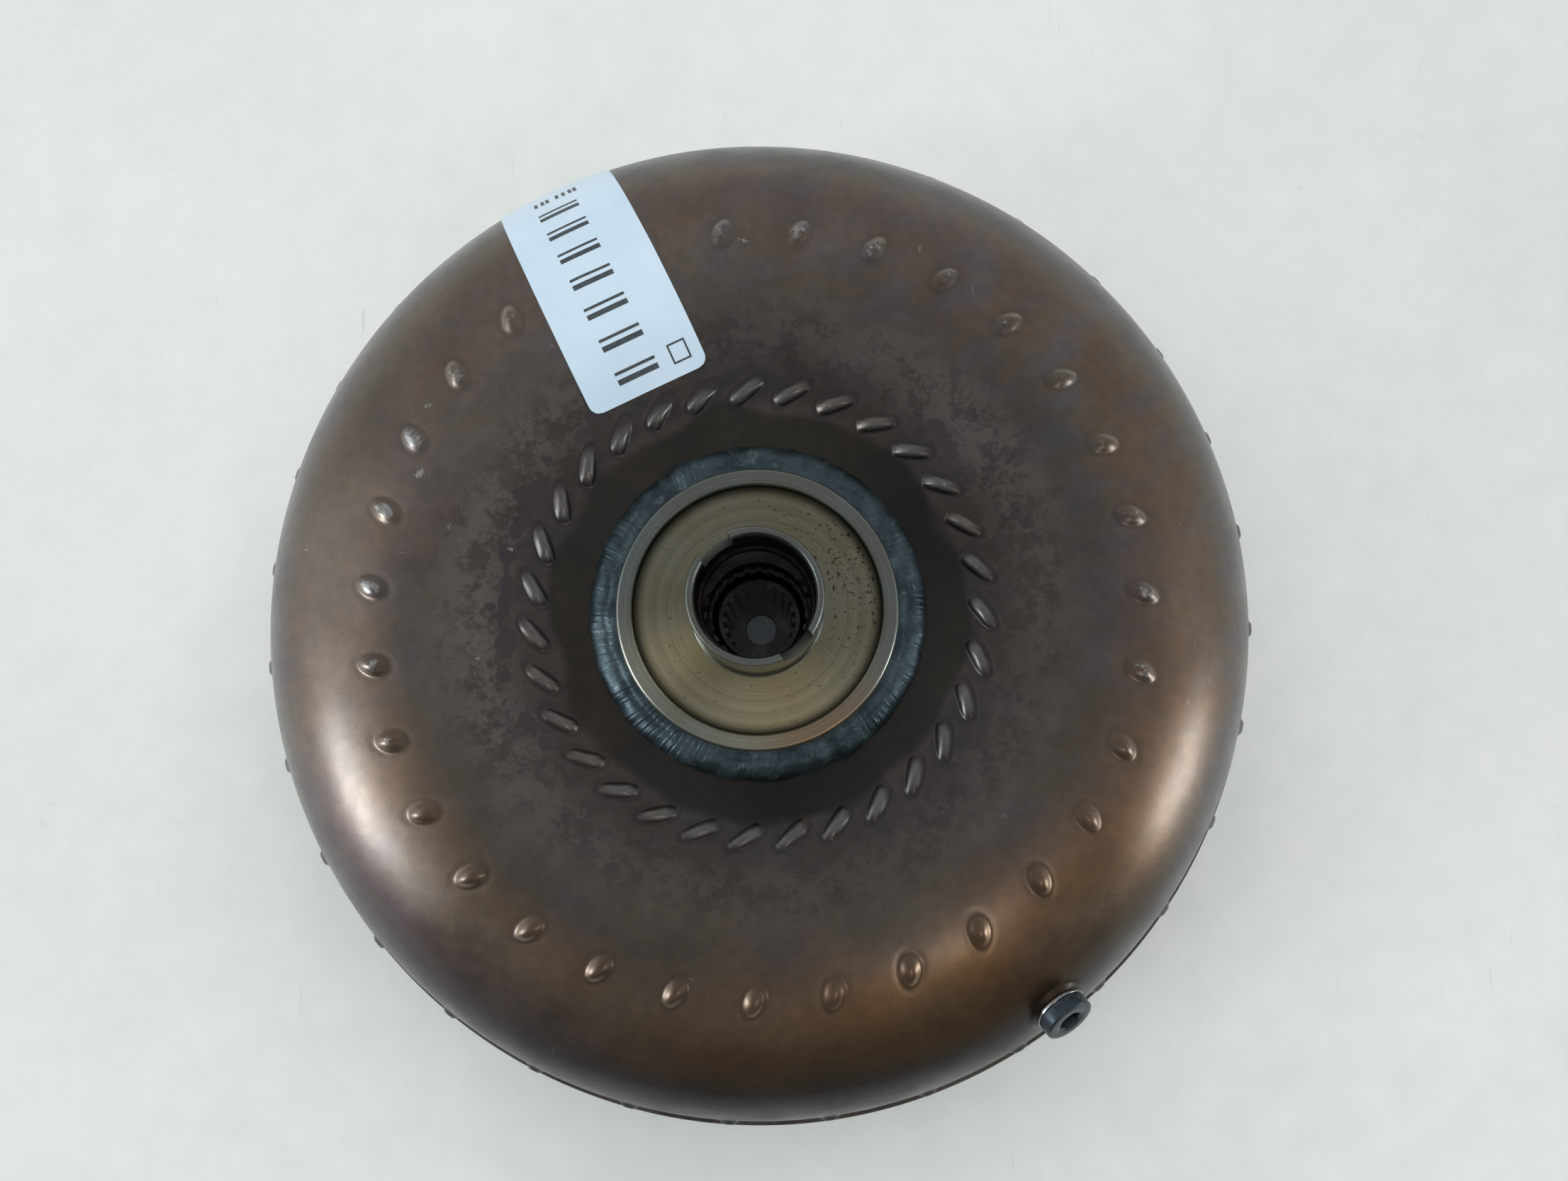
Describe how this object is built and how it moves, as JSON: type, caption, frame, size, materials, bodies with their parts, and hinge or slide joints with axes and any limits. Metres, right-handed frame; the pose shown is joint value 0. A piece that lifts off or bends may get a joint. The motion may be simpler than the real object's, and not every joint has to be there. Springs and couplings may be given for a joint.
{
  "type": "torque converter",
  "caption": "Hydrodynamic torque converter: domed impeller housing, turbine, stator with one-way clutch, lock-up piston and sprung damper in a welded steel case.",
  "frame": {"origin": "on the spin axis, in the plane of the flexplate pads", "axes": "+Z along the spin axis from the engine side towards the transmission; +X is 30 degrees from a flexplate bolt"},
  "size_m": [0.3008, 0.3008, 0.143],
  "materials": {
    "heat_tinted_steel": "satin",
    "machined_steel": "satin",
    "weld_steel": "satin",
    "pressed_steel": "satin",
    "oily_dark_steel": "gloss",
    "bearing_steel": "polished",
    "cast_aluminium": "matte",
    "bronze": "satin",
    "black_phosphate": "satin",
    "spring_steel": "satin",
    "friction_paper": "matte",
    "seal_plastic": "matte"
  },
  "bodies": {
    "housing": {"front_cover": "heat_tinted_steel", "pilot_boss": "machined_steel", "flexplate_pads": "machined_steel", "balance_weight": "pressed_steel", "closure_weld": "weld_steel", "impeller_shell": "heat_tinted_steel", "impeller_blades": "pressed_steel", "impeller_core_ring": "pressed_steel", "impeller_hub": "machined_steel", "hub_weld": "weld_steel", "hub_bushing": "bronze", "drain_boss": "pressed_steel", "drain_plug": "black_phosphate", "drain_plug_washer": "bearing_steel", "rear_race_outer": "bearing_steel"},
    "inner_race": {"clutch_inner_race": "oily_dark_steel"},
    "stator": {"stator_wheel": "cast_aluminium", "clutch_outer_race": "oily_dark_steel", "clutch_rollers": "bearing_steel", "clutch_springs": "bearing_steel", "front_end_washer": "bearing_steel", "rear_end_cap": "cast_aluminium", "stator_snap_ring": "bearing_steel", "rear_race_inner": "bearing_steel", "rear_needle_cage": "bearing_steel", "rear_needles": "bearing_steel", "front_race_inner": "bearing_steel", "front_needle_cage": "bearing_steel", "front_needles": "bearing_steel"},
    "turbine": {"turbine_shell": "pressed_steel", "turbine_blades": "pressed_steel", "turbine_core_ring": "pressed_steel", "turbine_hub": "oily_dark_steel", "turbine_hub_plug": "oily_dark_steel", "turbine_rivets": "bearing_steel", "damper_driven_plate": "pressed_steel", "front_race_outer": "bearing_steel", "cover_thrust_washer": "bronze", "piston_seal_ring": "seal_plastic"},
    "springs": {"damper_springs": "spring_steel"},
    "piston": {"lockup_piston": "pressed_steel", "friction_lining": "friction_paper", "spring_retainer": "pressed_steel", "retainer_rivets": "bearing_steel"}
  },
  "joints": [
    {"name": "turbine_spin", "type": "hinge", "parent": "housing", "child": "turbine", "pos_m": [0, 0, 0.078], "axis": [0, 0, 1], "continuous": true},
    {"name": "stator_support_spin", "type": "hinge", "parent": "housing", "child": "inner_race", "pos_m": [0, 0, 0.078], "axis": [0, 0, 1], "continuous": true},
    {"name": "stator_freewheel", "type": "hinge", "parent": "inner_race", "child": "stator", "pos_m": [0, 0, 0.078], "axis": [0, 0, 1], "range_deg": [0, 360]},
    {"name": "damper_twist", "type": "hinge", "parent": "turbine", "child": "springs", "pos_m": [0, 0, 0.027], "axis": [0, 0, 1], "range_deg": [-7, 7], "stiffness_Nm_per_rad": 900, "deforming": ["damper_springs"]},
    {"name": "piston_slide", "type": "slide", "parent": "springs", "child": "piston", "axis": [0, 0, -1], "range_m": [0, 0.001]}
  ]
}
